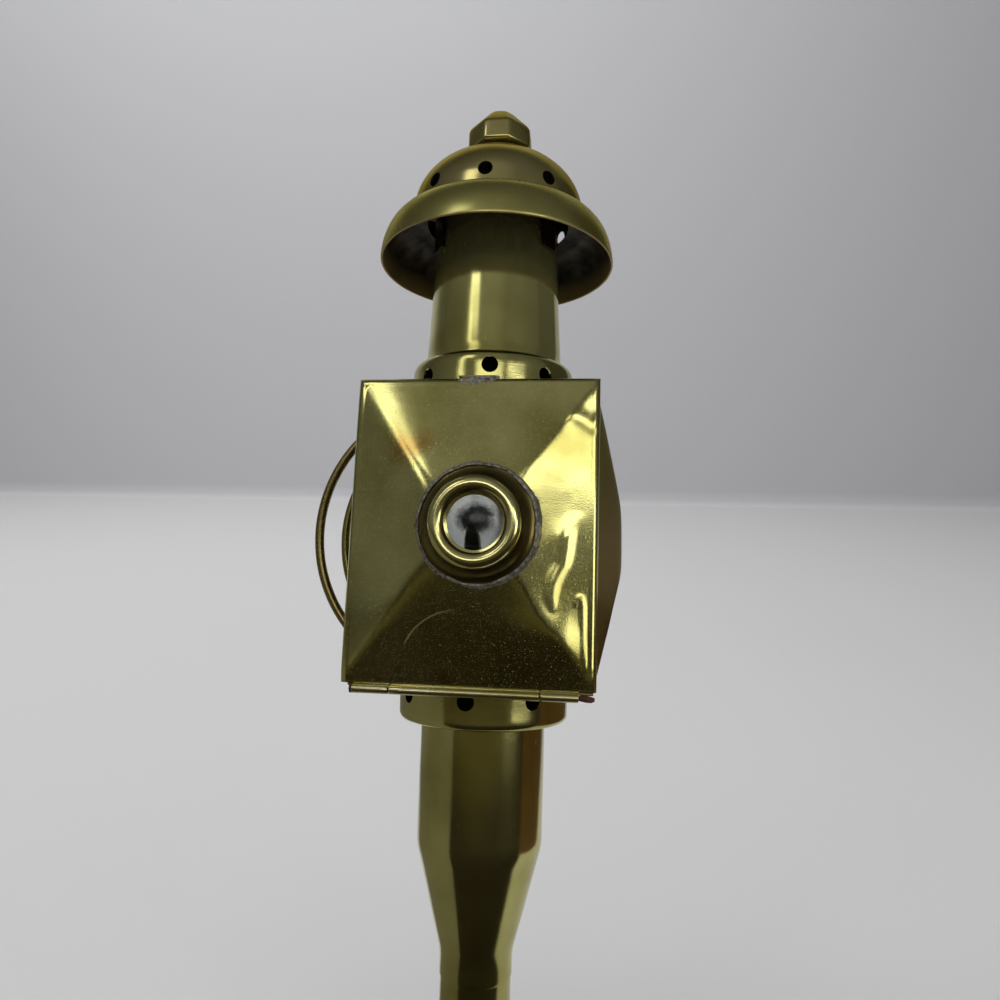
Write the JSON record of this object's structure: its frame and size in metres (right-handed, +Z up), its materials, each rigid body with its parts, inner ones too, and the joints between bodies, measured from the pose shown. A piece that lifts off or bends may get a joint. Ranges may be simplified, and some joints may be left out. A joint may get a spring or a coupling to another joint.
{
  "type": "carriage lantern",
  "caption": "Brass candle carriage lantern: square case, hinged door with bull's-eye lens, guarded windows, capped chimney and a spring-fed candle stem.",
  "frame": {"origin": "on the lamp's axis at the shoulder of the stem, where the bracket's socket ends", "axes": "+Z up along the stem and chimney, -Y out through the door and its lens, -X out through the guarded side window"},
  "size_m": [0.113, 0.1291, 0.4027],
  "materials": {
    "brass_sheet": "aged polished sheet",
    "brass_inner": "dull and smoked",
    "solder": "rough grey solder",
    "lens_glass": "clear polished",
    "window_glass": "clear flat",
    "hinge_steel": "rusted",
    "spring_steel": "drawn wire",
    "candle_wax": "smooth",
    "wick_cotton": "charred"
  },
  "bodies": {
    "lantern": {"stem_tube": "brass_sheet", "stem_funnel": "brass_sheet", "candle_tube": "brass_inner", "nozzle_cap": "brass_inner", "lower_gallery": "brass_sheet", "case_floor": "brass_sheet", "left_frame": "brass_sheet", "front_frame": "brass_sheet", "blind_side": "brass_sheet", "case_roof": "brass_sheet", "upper_gallery": "brass_sheet", "chimney": "brass_sheet", "cap_straps": "brass_inner", "strap_rivets": "brass_inner", "cap_skirt": "brass_sheet", "cap_dome": "brass_sheet", "finial": "brass_sheet", "finial_nut": "brass_inner", "left_glass": "window_glass", "left_glass_clips": "brass_inner", "left_guard": "brass_sheet", "front_glass": "window_glass", "front_glass_clips": "brass_inner", "front_guard": "brass_sheet", "hinge_knuckles": "brass_sheet", "hinge_pin": "hinge_steel"},
    "door": {"door_panel": "brass_sheet", "door_catch": "brass_sheet", "lens_collar": "brass_sheet", "collar_solder": "solder", "lens_bezel": "brass_sheet", "bullseye_lens": "lens_glass", "lens_retainer": "brass_inner"},
    "candle": {"candle": "candle_wax", "wick": "wick_cotton", "follower": "brass_inner"},
    "end_cap": {"end_cap": "brass_sheet", "feed_spring": "spring_steel"}
  },
  "joints": [
    {"name": "door_hinge", "type": "hinge", "parent": "lantern", "child": "door", "pos_m": [0, -0.04163, 0.10337], "axis": [1, 0, 0], "range_deg": [0, 165]},
    {"name": "candle_feed", "type": "slide", "parent": "lantern", "child": "candle", "axis": [0, 0, 1], "range_m": [-0.02, 0], "stiffness_N_per_m": 60, "springref_m": 0.04, "deforming": ["feed_spring"]},
    {"name": "end_cap_twist", "type": "hinge", "parent": "lantern", "child": "end_cap", "pos_m": [0, 0, -0.064], "axis": [0, 0, 1], "range_deg": [0, 40]}
  ]
}
